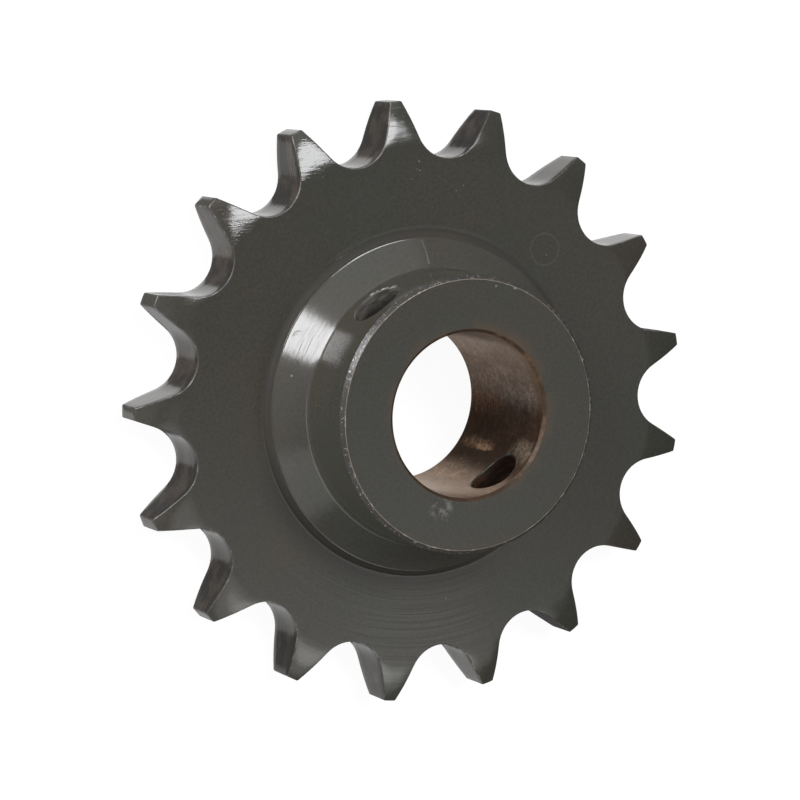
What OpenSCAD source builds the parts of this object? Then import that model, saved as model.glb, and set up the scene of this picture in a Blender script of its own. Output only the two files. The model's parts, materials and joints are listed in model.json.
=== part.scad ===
// Chain sprocket for a roller chain, turned from one blank: a toothed plate
// with a hub on one side, a plain bore, and a pin hole drilled across the hub.
// The sprocket lies on its flat back face at z = 0 and its hub points along +Z.
// The bore runs along the Z axis, and the pin hole along the Y axis.
// A tooth gap is centred on -Y, above one mouth of the pin hole.

/* [Chain] */
// Pitch of the chain, from one roller centre to the next
chain_pitch = 12.7; // [12:0.1:20]
// Diameter of the chain rollers
roller_d = 8.51; // [7:0.01:9]
// Number of teeth
teeth = 17; // [15:1:26]

/* [Teeth] */
// Thickness of the plate that carries the teeth
plate_t = 7; // [5:0.1:10]
// Height of the tooth tips above the pitch circle
tip_rise = 2.57; // [1.5:0.01:3.5]
// How much larger the radius of a roller seat is than the roller's
seat_clearance = 0.04; // [0:0.01:0.15]
// Angle of arc that a roller seat covers before its flanks start
seat_angle = 121.6; // [114:0.1:134]
// Depth of the side relief at the tooth tips, on each side of the plate
relief_depth = 1.25; // [0.5:0.05:2]
// Radius of the side relief
relief_r = 12.7; // [8:0.1:20]

/* [Hub] */
// Diameter of the hub
hub_d = 33.6; // [28:0.1:38]
// Height of the hub above the plate
hub_h = 13; // [10:0.1:30]
// Chamfer on the hub's front edge
hub_chamfer = 0.5; // [0.2:0.1:1.5]
// Diameter of the collar at the foot of the hub
collar_d = 41.2; // [39:0.1:46]
// Height of the collar's straight wall above the plate
collar_h = 0.9; // [0.8:0.1:2]
// Height of the cone between the collar and the hub
cone_h = 2.9; // [1:0.1:4]
// Fillet between the plate and the collar
foot_fillet = 0.7; // [0.2:0.05:0.8]
// Fillet between the cone and the hub
neck_fillet = 1; // [0.2:0.1:2]

/* [Bore] */
// Diameter of the bore
bore_d = 20; // [12:0.1:24]
// Chamfer at both ends of the bore
bore_chamfer = 0.35; // [0.1:0.05:1]

/* [Pin hole] */
// Diameter of the pin hole across the hub
pin_d = 6.3; // [3:0.1:8]
// Distance from the hub's front face to the axis of the pin hole
pin_from_face = 5; // [4.5:0.1:6]

/* [Hidden] */
$fn = 96;
// Overlap that lets a cut run clear of a face
eps = 1;
steel = [0.30, 0.30, 0.27];

pitch_r = chain_pitch / 2 / sin(180 / teeth);
seat_r = roller_d / 2 + seat_clearance;
tip_r = pitch_r + tip_rise;
hub_r = hub_d / 2;
collar_r = collar_d / 2;
bore_r = bore_d / 2;
total_h = plate_t + hub_h;
// Angle between each flank of a gap and the gap's middle line
flank_angle = 90 - seat_angle / 2;
// Radius at which the side relief leaves the flat face
relief_start = tip_r - sqrt(relief_depth * (2 * relief_r - relief_depth));
collar_top = plate_t + collar_h;
cone_top = collar_top + cone_h;
// Slope of the cone from the axis, and the length of it that the neck fillet takes
cone_angle = atan((collar_r - hub_r) / cone_h);
neck_run = neck_fillet * tan(cone_angle / 2);
// Centres of the two fillets in the half section, and where the neck's meets the cone
foot_centre = [collar_r + foot_fillet, plate_t + foot_fillet];
neck_centre = [hub_r + neck_fillet, cone_top + neck_run];
neck_touch = [hub_r + neck_run * sin(cone_angle), cone_top - neck_run * cos(cone_angle)];

// Half section of the plate, with both side reliefs
module plate_section() {
    difference() {
        square([tip_r, plate_t]);
        for (side = [0, 1])
            translate([relief_start, side * plate_t])
                mirror([0, side])
                    difference() {
                        translate([0, -eps])
                            square([tip_r, relief_depth + 2 * eps]);
                        translate([0, relief_r])
                            circle(r = relief_r);
                    }
    }
}

// Half section of the hub, with its collar, cone, front chamfer and two fillets
module hub_section() {
    difference() {
        polygon([
            [0, 0],
            [foot_centre[0], 0],
            foot_centre,
            [collar_r, foot_centre[1]],
            [collar_r, collar_top],
            neck_touch,
            neck_centre,
            [hub_r, neck_centre[1]],
            [hub_r, total_h - hub_chamfer],
            [hub_r - hub_chamfer, total_h],
            [0, total_h]
        ]);
        translate(foot_centre)
            circle(r = foot_fillet);
        translate(neck_centre)
            circle(r = neck_fillet);
    }
}

// The turned blank, before the teeth, the bore and the pin hole are cut
module blank() {
    rotate_extrude() {
        plate_section();
        hub_section();
    }
}

// Outline of one gap between two teeth, centred on +X: a round seat for the
// roller with a straight flank on each side, both tangent to the seat
module gap_outline() {
    foot = [
        pitch_r - seat_r * sin(flank_angle),
        seat_r * cos(flank_angle)
    ];
    run = tip_r + eps - foot[0];
    head = foot + run * [1, tan(flank_angle)];
    translate([pitch_r, 0])
        circle(r = seat_r);
    polygon([foot, head, [head[0], -head[1]], [foot[0], -foot[1]]]);
}

module tooth_gaps() {
    for (i = [0 : teeth - 1])
        rotate([0, 0, -90 + i * 360 / teeth])
            translate([0, 0, -eps])
                linear_extrude(plate_t + 2 * eps)
                    gap_outline();
}

module bore_cut() {
    mouth_r = bore_r + bore_chamfer + eps;
    translate([0, 0, -eps])
        cylinder(r = bore_r, h = total_h + 2 * eps);
    translate([0, 0, -eps])
        cylinder(r1 = mouth_r, r2 = bore_r, h = bore_chamfer + eps);
    translate([0, 0, total_h - bore_chamfer])
        cylinder(r1 = bore_r, r2 = mouth_r, h = bore_chamfer + eps);
}

module pin_hole_cut() {
    translate([0, 0, total_h - pin_from_face])
        rotate([90, 0, 0])
            cylinder(d = pin_d, h = hub_d + 2 * eps, center = true);
}

module sprocket() {
    color(steel)
        difference() {
            blank();
            tooth_gaps();
            bore_cut();
            pin_hole_cut();
        }
}

sprocket();
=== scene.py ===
"""Looks of a chain sprocket: a turned steel wheel with hobbed teeth, a hub and a stained bore.

The wheel is one piece of steel. Its mesh comes in two parts that are welded into one: a
tooth sector, which Geometry Nodes repeat round the wheel, and the turned hub with its bore
and cross-drilled pin hole. Sizes are in millimetres until a mesh is handed to Blender.
"""

import json
import logging
import math
from collections.abc import Sequence
from dataclasses import dataclass, field
from enum import Enum
from typing import Any

import bpy
import numpy as np
from mathutils import Matrix, Vector


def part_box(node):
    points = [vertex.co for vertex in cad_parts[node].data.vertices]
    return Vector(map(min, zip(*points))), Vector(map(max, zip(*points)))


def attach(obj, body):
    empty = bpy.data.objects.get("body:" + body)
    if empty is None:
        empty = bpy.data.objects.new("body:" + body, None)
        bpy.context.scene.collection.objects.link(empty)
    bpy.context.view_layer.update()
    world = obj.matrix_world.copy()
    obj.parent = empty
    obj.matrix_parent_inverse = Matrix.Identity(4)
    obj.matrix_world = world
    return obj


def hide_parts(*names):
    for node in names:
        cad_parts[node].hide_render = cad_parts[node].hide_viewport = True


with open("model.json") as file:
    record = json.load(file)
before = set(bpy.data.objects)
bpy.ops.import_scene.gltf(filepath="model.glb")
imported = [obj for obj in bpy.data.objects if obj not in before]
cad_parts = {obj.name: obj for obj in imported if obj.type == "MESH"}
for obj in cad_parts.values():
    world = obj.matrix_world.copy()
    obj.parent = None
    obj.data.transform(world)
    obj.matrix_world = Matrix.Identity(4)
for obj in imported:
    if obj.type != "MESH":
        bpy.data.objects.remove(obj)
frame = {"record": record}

LOG = logging.getLogger("sprocket")
MM = 0.001
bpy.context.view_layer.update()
WELD_DISTANCE = 0.001 * MM
NEARLY = 1e-6
Socket = bpy.types.NodeSocket
Point = tuple[float, float, float]
Colour = tuple[float, float, float, float]


class Zone(Enum):
    """Kinds of surface on the wheel, each with a finish of its own."""

    TURNED = 0
    HOBBED = 1
    EDGE = 2
    BORE = 3
    DRILLED = 4
    RUSTED = 5
    DULL = 6
    WORN = 7
    RUBBED = 8


class LampShape(Enum):
    """Outlines that a lamp may have."""

    BOX = "RECTANGLE"
    OVAL = "ELLIPSE"


class LampUse(Enum):
    """What a lamp is for: to show as a reflection, or to light the wheel."""

    MIRRORED = 0
    LIGHTING = 1


def mount(name: str) -> dict[str, Any]:
    """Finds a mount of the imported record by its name.

    Args:
        name: The mount's name.

    Returns:
        The mount's entry in the record.
    """
    return next(m for m in frame["record"]["mounts"] if m["name"] == name)


def towards(azimuth: float, elevation: float) -> Vector:
    """Gives the direction from the wheel to a place in the studio.

    Args:
        azimuth: The place's azimuth, in degrees.
        elevation: Its elevation, in degrees.

    Returns:
        The direction, one unit long.
    """
    turn, rise = math.radians(azimuth), math.radians(elevation)
    flat = math.cos(rise)
    return Vector((flat * math.cos(turn), flat * math.sin(turn), math.sin(rise)))


@dataclass(frozen=True)
class WheelSizes:
    """Driving sizes of the sprocket, in millimetres and degrees."""

    chain_pitch: float = 12.7
    roller_diameter: float = 8.51
    teeth: int = 17
    plate: float = 7.0
    tip_rise: float = 2.57
    seat_clearance: float = 0.04
    seat_angle: float = 121.6
    relief_depth: float = 1.25
    relief_radius: float = 12.7
    hub_diameter: float = 33.6
    hub_chamfer: float = 0.5
    collar_diameter: float = 41.2
    collar_height: float = 0.9
    cone_height: float = 2.9
    foot_fillet: float = 0.7
    neck_fillet: float = 1.0
    bore_chamfer: float = 0.35
    join_gap: float = 0.3
    total_height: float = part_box("sprocket")[1].z / MM
    bore_radius: float = mount("shaft_bore")["dims"]["r_mm"]
    pin_radius: float = mount("pin_hole")["dims"]["r_mm"]
    pin_height: float = mount("pin_hole")["pos_m"][2] / MM

    @property
    def half_pitch_angle(self) -> float:
        """Angle from a gap's middle to the next tooth's middle, in radians."""
        return math.pi / self.teeth

    @property
    def pitch_radius(self) -> float:
        """Radius of the circle that the roller centres lie on."""
        return self.chain_pitch / 2 / math.sin(self.half_pitch_angle)

    @property
    def seat_radius(self) -> float:
        """Radius of the round seat of a roller."""
        return self.roller_diameter / 2 + self.seat_clearance

    @property
    def tip_radius(self) -> float:
        """Radius of the tooth tips."""
        return self.pitch_radius + self.tip_rise

    @property
    def join_radius(self) -> float:
        """Radius at which the hub's mesh meets the tooth sectors."""
        return self.collar_diameter / 2 + self.foot_fillet + self.join_gap

    @property
    def relief_start(self) -> float:
        """Radius at which the side relief leaves the flat face."""
        depth = self.relief_depth
        return self.tip_radius - math.sqrt(depth * (2 * self.relief_radius - depth))

    def rim_distance(self, points: np.ndarray) -> np.ndarray:
        """Measures how far points on a tooth, which is on +Y, lie from the nearest gap.

        Args:
            points: Points by x and y.

        Returns:
            The distance of each point from the edge of the gap.
        """
        lean = math.pi / 2 - math.radians(self.seat_angle / 2)
        foot_x = self.pitch_radius - self.seat_radius * math.sin(lean)
        foot_y = self.seat_radius * math.cos(lean)
        turn = math.pi / 2 - self.half_pitch_angle
        x, y = np.abs(points[..., 0]), points[..., 1]
        out = x * math.cos(turn) + y * math.sin(turn)
        across = np.abs(y * math.cos(turn) - x * math.sin(turn))
        seat = np.hypot(out - self.pitch_radius, across) - self.seat_radius
        on_flank = (out - foot_x) * math.cos(lean) + (across - foot_y) * math.sin(lean) > 0
        flank = (across - foot_y) * math.cos(lean) - (out - foot_x) * math.sin(lean)
        return np.where(on_flank, flank, seat)

    def relief(self, radius: np.ndarray) -> np.ndarray:
        """Gives how far the side relief cuts into a face.

        Args:
            radius: Distances from the wheel's axis.

        Returns:
            The depth of the relief at each radius.
        """
        run = np.clip(radius - self.relief_start, 0, None)
        return self.relief_radius - np.sqrt(self.relief_radius**2 - run**2)


@dataclass
class PatchMesh:
    """Vertices in millimetres and faces with their zones, gathered patch by patch."""

    points: list[np.ndarray] = field(default_factory=list)
    faces: list[tuple[int, ...]] = field(default_factory=list)
    zones: list[int] = field(default_factory=list)
    count: int = 0

    def add_points(self, points: np.ndarray) -> int:
        """Adds vertices.

        Args:
            points: An array of points whose last axis is x, y, z.

        Returns:
            The index of the first new vertex.
        """
        first = self.count
        flat = points.reshape(-1, 3)
        self.points.append(flat)
        self.count += len(flat)
        return first

    def add_grid(
        self,
        points: np.ndarray,
        zones: np.ndarray,
        closed: bool = False,
        holes: Sequence[tuple[slice, slice]] = (),
    ) -> None:
        """Adds a grid of quads, whose faces look along rows x columns.

        Args:
            points: Points by row and column.
            zones: Zone numbers by row and column of quads.
            closed: Whether the last column meets the first.
            holes: Blocks of quads to leave out, by rows and columns.
        """
        rows, columns = points.shape[:2]
        first = self.add_points(points)
        keep = np.ones((rows - 1, columns if closed else columns - 1), bool)
        for hole in holes:
            keep[hole] = False
        for row, column in zip(*np.nonzero(keep)):
            after = (column + 1) % columns
            low, high = first + row * columns, first + (row + 1) * columns
            self.faces.append((low + column, high + column, high + after, low + after))
            self.zones.append(int(zones[row, column]))

    def to_object(self, name: str) -> bpy.types.Object:
        """Makes a Blender object of the patches, in metres.

        Args:
            name: The object's name.

        Returns:
            The new object, with the zone of each face as an attribute.
        """
        mesh = bpy.data.meshes.new(name)
        used, faces = np.unique(np.array(self.faces), return_inverse=True)
        points = np.vstack(self.points)[used] * MM
        mesh.from_pydata(points.tolist(), [], faces.reshape(-1, 4).tolist())
        attribute = mesh.attributes.new("zone", "INT", "FACE")
        attribute.data.foreach_set("value", self.zones)
        thing = bpy.data.objects.new(name, mesh)
        bpy.context.scene.collection.objects.link(thing)
        return thing


@dataclass(frozen=True)
class ToothSector:
    """One tooth with half a gap on each side, from the collar's foot to the tip.

    Lengths are in millimetres. The edge is the rounding of the rims, and support is how far
    a row of the mesh lies from it. The crown is how the faces drop towards the rims, over
    its width and drop, and it grows from its lead inside the side relief over its run.
    Steps divide the outline and rows the faces.
    """

    sizes: WheelSizes
    edge: float = 0.12
    tip_corner: float = 0.2
    support: float = 0.04
    crown_width: float = 1.3
    crown_drop: float = 0.05
    crown_lead: float = 1.0
    crown_run: float = 3.0
    rim_reach: float = 0.6
    seat_steps: int = 8
    flank_steps: int = 5
    corner_steps: int = 2
    land_steps: int = 1
    flat_rows: int = 6
    relief_rows: int = 11
    wall_rows: int = 6
    edge_rows: int = 3

    def half_outline(self) -> tuple[np.ndarray, np.ndarray, np.ndarray]:
        """Traces the outline from a gap's middle, on +X, round to the next tooth's middle.

        Returns:
            Points, normals out of the steel, and the zone of each stretch between points.
        """
        sizes = self.sizes
        reach = math.radians(sizes.seat_angle / 2)
        lean = math.pi / 2 - reach
        seat = np.linspace(0, reach, self.seat_steps + 1)
        points = [
            [sizes.pitch_radius - sizes.seat_radius * math.cos(a), sizes.seat_radius * math.sin(a)]
            for a in seat
        ]
        normals = [[math.cos(a), -math.sin(a)] for a in seat]
        foot = np.array(points[-1])
        along = np.array([math.cos(lean), math.sin(lean)])
        inward = np.array([-math.sin(lean), math.cos(lean)])
        start = foot + self.tip_corner * inward
        limit = sizes.tip_radius - self.tip_corner
        across = start @ along
        length = -across + math.sqrt(across**2 - start @ start + limit**2)
        for share in np.linspace(0, 1, self.flank_steps + 1)[1:]:
            points.append(foot + share * length * along)
            normals.append(-inward)
        centre = start + length * along
        first = math.atan2(-inward[1], -inward[0])
        last = math.atan2(centre[1], centre[0])
        for angle in np.linspace(first, last, self.corner_steps + 1)[1:]:
            normal = np.array([math.cos(angle), math.sin(angle)])
            points.append(centre + self.tip_corner * normal)
            normals.append(normal)
        for angle in np.linspace(last, sizes.half_pitch_angle, self.land_steps + 1)[1:]:
            normal = np.array([math.cos(angle), math.sin(angle)])
            points.append(sizes.tip_radius * normal)
            normals.append(normal)
        zones = np.repeat(
            [Zone.HOBBED.value, Zone.EDGE.value, Zone.TURNED.value],
            [self.seat_steps + self.flank_steps, self.corner_steps, self.land_steps],
        )
        return np.array(points), np.array(normals), zones

    def outline(self) -> tuple[np.ndarray, np.ndarray, np.ndarray]:
        """Traces the whole sector, with its tooth on +Y, from the gap on its +X side.

        Returns:
            Points, normals out of the steel, and the zone of each stretch between points.
        """
        points, normals, zones = self.half_outline()
        start = math.pi / 2 - self.sizes.half_pitch_angle
        turn = np.array([[math.cos(start), math.sin(start)], [-math.sin(start), math.cos(start)]])
        points, normals = points @ turn, normals @ turn
        flip = np.array([-1, 1])
        return (
            np.vstack([points, (points * flip)[-2::-1]]),
            np.vstack([normals, (normals * flip)[-2::-1]]),
            np.concatenate([zones, zones[::-1]]),
        )

    def angles(self) -> np.ndarray:
        """Gives the directions of the outline's points as seen from the axis, in radians."""
        points = self.outline()[0]
        return np.arctan2(points[:, 1], points[:, 0])

    def drop(self, points: np.ndarray) -> np.ndarray:
        """Gives how far the face lies below the flat: the side relief and the worn rims of the teeth.

        Args:
            points: Points by x and y.

        Returns:
            The depth at each point.
        """
        near = np.clip(1 - self.sizes.rim_distance(points) / self.crown_width, 0, 1)
        radius = np.hypot(points[..., 0], points[..., 1])
        crown_start = self.sizes.relief_start - self.crown_lead
        worn = np.clip((radius - crown_start) / self.crown_run, 0, 1)
        return self.sizes.relief(radius) + self.crown_drop * near**2 * worn

    def half_rows(self) -> tuple[np.ndarray, np.ndarray]:
        """Builds the rows of the front half, from the hub side out and over the edge.

        Returns:
            Points by row and column, and for each row of quads whether it is a rounded edge.
        """
        points, normals, _ = self.outline()
        height = self.sizes.plate
        angles = self.angles()
        inner = self.sizes.join_radius * np.stack([np.cos(angles), np.sin(angles)], 1)
        outer = points - (self.edge + self.support) * normals
        reach = np.hypot(*outer.T) - self.sizes.join_radius
        flat_reach = self.sizes.relief_start - self.sizes.join_radius
        start = np.minimum(flat_reach, reach - self.rim_reach) / reach
        shares = [step * start for step in np.linspace(0, 1, self.flat_rows + 1)]
        steps = np.linspace(0, 1, self.relief_rows + 1)[1:]
        shares += [start + step * (1 - start) for step in steps]
        rows = []
        for share in shares:
            flat = inner + share[:, None] * (outer - inner)
            rows.append(np.column_stack([flat, height - self.drop(flat)]))
        for turn in np.linspace(0, math.pi / 2, self.edge_rows + 1):
            flat = points - self.edge * (1 - math.sin(turn)) * normals
            sunk = self.edge * (1 - math.cos(turn))
            rows.append(np.column_stack([flat, height - self.drop(flat) - sunk]))
        is_edge = np.repeat([False, True], [self.flat_rows + self.relief_rows + 1, self.edge_rows])
        return np.stack(rows), is_edge

    def build(self) -> PatchMesh:
        """Builds the sector's mesh.

        Returns:
            The front face, the gap and tip walls and the back face, open at its sides.
        """
        patch = PatchMesh()
        front, is_edge = self.half_rows()
        mirror = np.array([1, 1, -1])
        back = front[::-1] * mirror + [0, 0, self.sizes.plate]
        top, foot = front[-1], back[0]
        shares = np.linspace(0, 1, self.wall_rows + 1)[1:-1]
        wall = np.stack([top + share * (foot - top) for share in shares])
        points = np.concatenate([front, wall, back])
        stretch = self.outline()[2]
        face = np.where(is_edge, Zone.EDGE.value, Zone.TURNED.value)
        zones = np.empty((len(points) - 1, len(stretch)), int)
        zones[: len(face)] = face[:, None]
        zones[len(face) : -len(face)] = stretch[None, :]
        zones[-len(face) :] = face[::-1, None]
        patch.add_grid(points, zones)
        return patch


@dataclass(frozen=True)
class Corner:
    """A corner of the hub's half section, with the stretch that leads on from it."""

    radius: float
    height: float
    rounding: float = 0.0
    steps: int = 1
    zone: Zone = Zone.TURNED
    turn_zone: Zone = Zone.EDGE


@dataclass(frozen=True)
class TurnedHub:
    """The hub with its collar, cone and bore, turned round the wheel's axis.

    Lengths are in millimetres and angles in degrees. Columns are the directions of the
    mesh's columns, in radians. Edges are radii of rounded corners. The lip is the worn top
    edge of the collar. Windows are the parts of the walls that the pin hole's mouths take.
    """

    sizes: WheelSizes
    columns: np.ndarray
    edge: float = 0.08
    face_edge: float = 0.128
    hole_edge: float = 0.14
    support: float = 0.05
    round_steps: int = 3
    fillet_steps: int = 6
    lip: float = 0.16
    lip_slope: float = 15.0
    lip_root_edge: float = 0.048
    lip_end_edge: float = 0.064
    window_rows: int = 14
    window_half_height: float = 3.5
    window_half_angle: float = 24.0
    rim_rows: int = 4
    rim_crowding: float = 0.8
    drill_rows: int = 6

    def corners(self) -> list[Corner]:
        """Lists the half section's corners, from the back face through the bore to the front.

        Returns:
            The corners in order, with their roundings and zones.
        """
        sizes, edge = self.sizes, self.edge
        bore, mouth = sizes.bore_radius, sizes.bore_radius + sizes.bore_chamfer
        hub, top = sizes.hub_diameter / 2, sizes.total_height
        collar, plate = sizes.collar_diameter / 2, sizes.plate
        low = sizes.pin_height - self.window_half_height
        high = sizes.pin_height + self.window_half_height
        collar_top = plate + sizes.collar_height
        lip_root = collar_top + self.lip * sizes.cone_height / (collar - hub)
        lip_end = lip_root - self.lip * math.tan(math.radians(self.lip_slope))
        return [
            Corner(sizes.join_radius, 0, steps=6),
            Corner(mouth, 0, edge, 1, Zone.RUSTED),
            Corner(bore, sizes.bore_chamfer, edge, 9, Zone.BORE, Zone.RUSTED),
            Corner(bore, low, 0, self.window_rows, Zone.BORE),
            Corner(bore, high, 0, 2, Zone.BORE),
            Corner(bore, top - sizes.bore_chamfer, edge, 1, Zone.RUSTED, Zone.RUSTED),
            Corner(mouth, top, edge, 7, turn_zone=Zone.RUSTED),
            Corner(hub - sizes.hub_chamfer, top, self.face_edge, 2, Zone.WORN, Zone.RUBBED),
            Corner(hub, top - sizes.hub_chamfer, edge, 2, turn_zone=Zone.WORN),
            Corner(hub, high, 0, self.window_rows),
            Corner(hub, low, 0, 1),
            Corner(hub, collar_top + sizes.cone_height, sizes.neck_fillet, 7, turn_zone=Zone.TURNED),
            Corner(collar - self.lip, lip_root, self.lip_root_edge, 1, turn_zone=Zone.TURNED),
            Corner(collar, lip_end, self.lip_end_edge, 1, turn_zone=Zone.TURNED),
            Corner(collar, plate, sizes.foot_fillet, 1, turn_zone=Zone.DULL),
            Corner(sizes.join_radius, plate),
        ]

    def section(self) -> tuple[np.ndarray, np.ndarray]:
        """Rounds the corners and divides the stretches between them.

        Returns:
            Radius and height of each row, and the zone of each stretch between rows.
        """
        corners = self.corners()
        places = [np.array([c.radius, c.height]) for c in corners]
        rows = [places[0]]
        zones: list[int] = []
        for index, corner in enumerate(corners[:-1]):
            here, after = places[index], places[index + 1]
            coming = corners[index + 1]
            start = rows[-1]
            if coming.rounding:
                beyond = places[index + 2]
                arc = self.rounded(here, after, beyond, coming.rounding)
            else:
                arc = after[None, :]
            unit = (after - here) / np.linalg.norm(after - here)
            lead = self.support if corner.rounding and corner.steps > 1 else 0
            tail = self.support if coming.rounding and corner.steps > 1 else 0
            stretch = [start + lead * unit] if lead else []
            ends = start + lead * unit, arc[0] - tail * unit
            shares = np.linspace(0, 1, corner.steps + 1)[1:]
            stretch += [ends[0] + share * (ends[1] - ends[0]) for share in shares]
            stretch += [arc[0]] if tail else []
            rows += stretch
            zones += [corner.zone.value] * len(stretch)
            if coming.rounding:
                rows += list(arc[1:])
                zones += [coming.turn_zone.value] * (len(arc) - 1)
        return np.array(rows), np.array(zones)

    def rounded(self, before: np.ndarray, at: np.ndarray, after: np.ndarray, radius: float) -> np.ndarray:
        """Rounds one corner of the half section.

        Args:
            before: The corner before.
            at: The corner itself.
            after: The corner after.
            radius: The rounding's radius.

        Returns:
            The points of the arc, from one stretch to the other.
        """
        back = (before - at) / np.linalg.norm(before - at)
        on = (after - at) / np.linalg.norm(after - at)
        half = math.acos(float(back @ on)) / 2
        bisector = (back + on) / np.linalg.norm(back + on)
        centre = at + bisector * radius / math.sin(half)
        run = radius / math.tan(half)
        first, last = at + back * run - centre, at + on * run - centre
        start = math.atan2(first[1], first[0])
        turn = (math.atan2(last[1], last[0]) - start + math.pi) % (2 * math.pi) - math.pi
        steps = self.fillet_steps if radius > self.edge else self.round_steps
        angles = start + turn * np.linspace(0, 1, steps + 1)
        return centre + radius * np.stack([np.cos(angles), np.sin(angles)], 1)

    def window(self, rows: np.ndarray, radius: float, side: float) -> tuple[slice, slice]:
        """Finds the block of quads that the pin hole breaks through on one wall.

        Args:
            rows: Radius and height of each row.
            radius: The wall's radius.
            side: Direction of the hole from the axis, in radians.

        Returns:
            The block's rows and columns.
        """
        away = np.abs(rows[:, 1] - self.sizes.pin_height)
        on_wall = np.abs(rows[:, 0] - radius) < NEARLY
        inside = np.nonzero(on_wall & (away < self.window_half_height + NEARLY))[0]
        turn = (self.columns - side + math.pi) % (2 * math.pi) - math.pi
        across = np.nonzero(np.abs(turn) < math.radians(self.window_half_angle))[0]
        return slice(inside[0], inside[-1]), slice(across[0], across[-1])

    def mouth(
        self, patch: PatchMesh, border: np.ndarray, around: np.ndarray, radius: float, side: float
    ) -> np.ndarray:
        """Joins a window in a wall to the pin hole's mouth and rounds the mouth's edge.

        Args:
            patch: The mesh to add to.
            border: The window's border points, in order.
            around: The angle round the hole of each border point.
            radius: The wall's radius.
            side: Direction of the hole from the axis, in radians.

        Returns:
            The ring of points at which the hole's own wall starts.
        """
        outward = 1 if radius > self.sizes.bore_radius else -1
        axis = np.array([math.cos(side), math.sin(side), 0])
        across = np.array([-math.sin(side), math.cos(side), 0])
        up = np.array([0, 0, 1])

        def ring(hole: float, depth: float) -> np.ndarray:
            """Gives the points of a ring round the hole.

            Args:
                hole: The ring's radius.
                depth: How far inside the wall it lies.

            Returns:
                The points.
            """
            offset = hole * np.cos(around)
            reach = np.sqrt(radius**2 - offset**2) - outward * depth
            height = self.sizes.pin_height + hole * np.sin(around)
            return offset[:, None] * across + reach[:, None] * axis + height[:, None] * up

        lip = self.sizes.pin_radius + self.hole_edge
        rim = ring(lip, 0)
        rings = []
        for share in np.linspace(0, 1, self.rim_rows + 1)[:-1] ** self.rim_crowding:
            mixed = border + share * (rim - border)
            flat = np.hypot(mixed[:, 0], mixed[:, 1])
            mixed[:, :2] *= (radius / flat)[:, None]
            rings.append(mixed)
        for turn in np.linspace(0, math.pi / 2, self.round_steps + 1):
            hole = lip - self.hole_edge * math.sin(turn)
            rings.append(ring(hole, self.hole_edge * (1 - math.cos(turn))))
        points = np.stack(rings)[:, ::-outward]
        wall = Zone.TURNED if outward > 0 else Zone.BORE
        kinds = np.repeat([wall.value, Zone.EDGE.value], [self.rim_rows, self.round_steps])
        patch.add_grid(points, np.repeat(kinds[:, None], len(border), 1), closed=True)
        return rings[-1]

    def drill(
        self, patch: PatchMesh, grid: np.ndarray, rows: np.ndarray, side: float
    ) -> list[tuple[slice, slice]]:
        """Runs the pin hole through the hub's wall on one side.

        Args:
            patch: The mesh to add to.
            grid: The hub's points by row and column.
            rows: Radius and height of each row.
            side: Direction of the hole from the axis, in radians.

        Returns:
            The blocks of quads that the hole's two mouths take.
        """
        blocks, rings = [], []
        around = None
        for radius in (self.sizes.hub_diameter / 2, self.sizes.bore_radius):
            block = self.window(rows, radius, side)
            block_rows = np.arange(block[0].start, block[0].stop + 1)
            if rows[block_rows[0], 1] > rows[block_rows[-1], 1]:
                block_rows = block_rows[::-1]
            block_columns = np.arange(block[1].start, block[1].stop + 1)
            low, high = grid[block_rows[0], block_columns], grid[block_rows[-1], block_columns]
            left, right = grid[block_rows, block_columns[0]], grid[block_rows, block_columns[-1]]
            border = np.concatenate([low[:-1], right[:-1], high[:0:-1], left[:0:-1]])
            if around is None:
                offset = -math.sin(side) * border[:, 0] + math.cos(side) * border[:, 1]
                around = np.arctan2(border[:, 2] - self.sizes.pin_height, offset)
            rings.append(self.mouth(patch, border, around, radius, side))
            blocks.append(block)
        outer, inner = rings
        shares = np.linspace(0, 1, self.drill_rows + 1)
        wall = np.stack([outer + share * (inner - outer) for share in shares])
        kinds = np.full((self.drill_rows, len(outer)), Zone.DRILLED.value)
        patch.add_grid(wall[:, ::-1], kinds, closed=True)
        return blocks

    def build(self) -> PatchMesh:
        """Builds the hub's mesh.

        Returns:
            The closed turned surface with the pin hole through it, open where the teeth join.
        """
        patch = PatchMesh()
        rows, zones = self.section()
        ring = np.stack([np.cos(self.columns), np.sin(self.columns)], 1)
        flat = rows[:, 0, None, None] * ring[None]
        height = np.broadcast_to(rows[:, 1, None, None], flat.shape[:2] + (1,))
        grid = np.concatenate([flat, height], 2)
        holes = []
        for side in (-math.pi / 2, math.pi / 2):
            holes += self.drill(patch, grid, rows, side)
        kinds = np.repeat(zones[:, None], len(self.columns), 1)
        patch.add_grid(grid, kinds, closed=True, holes=holes)
        return patch


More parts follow.
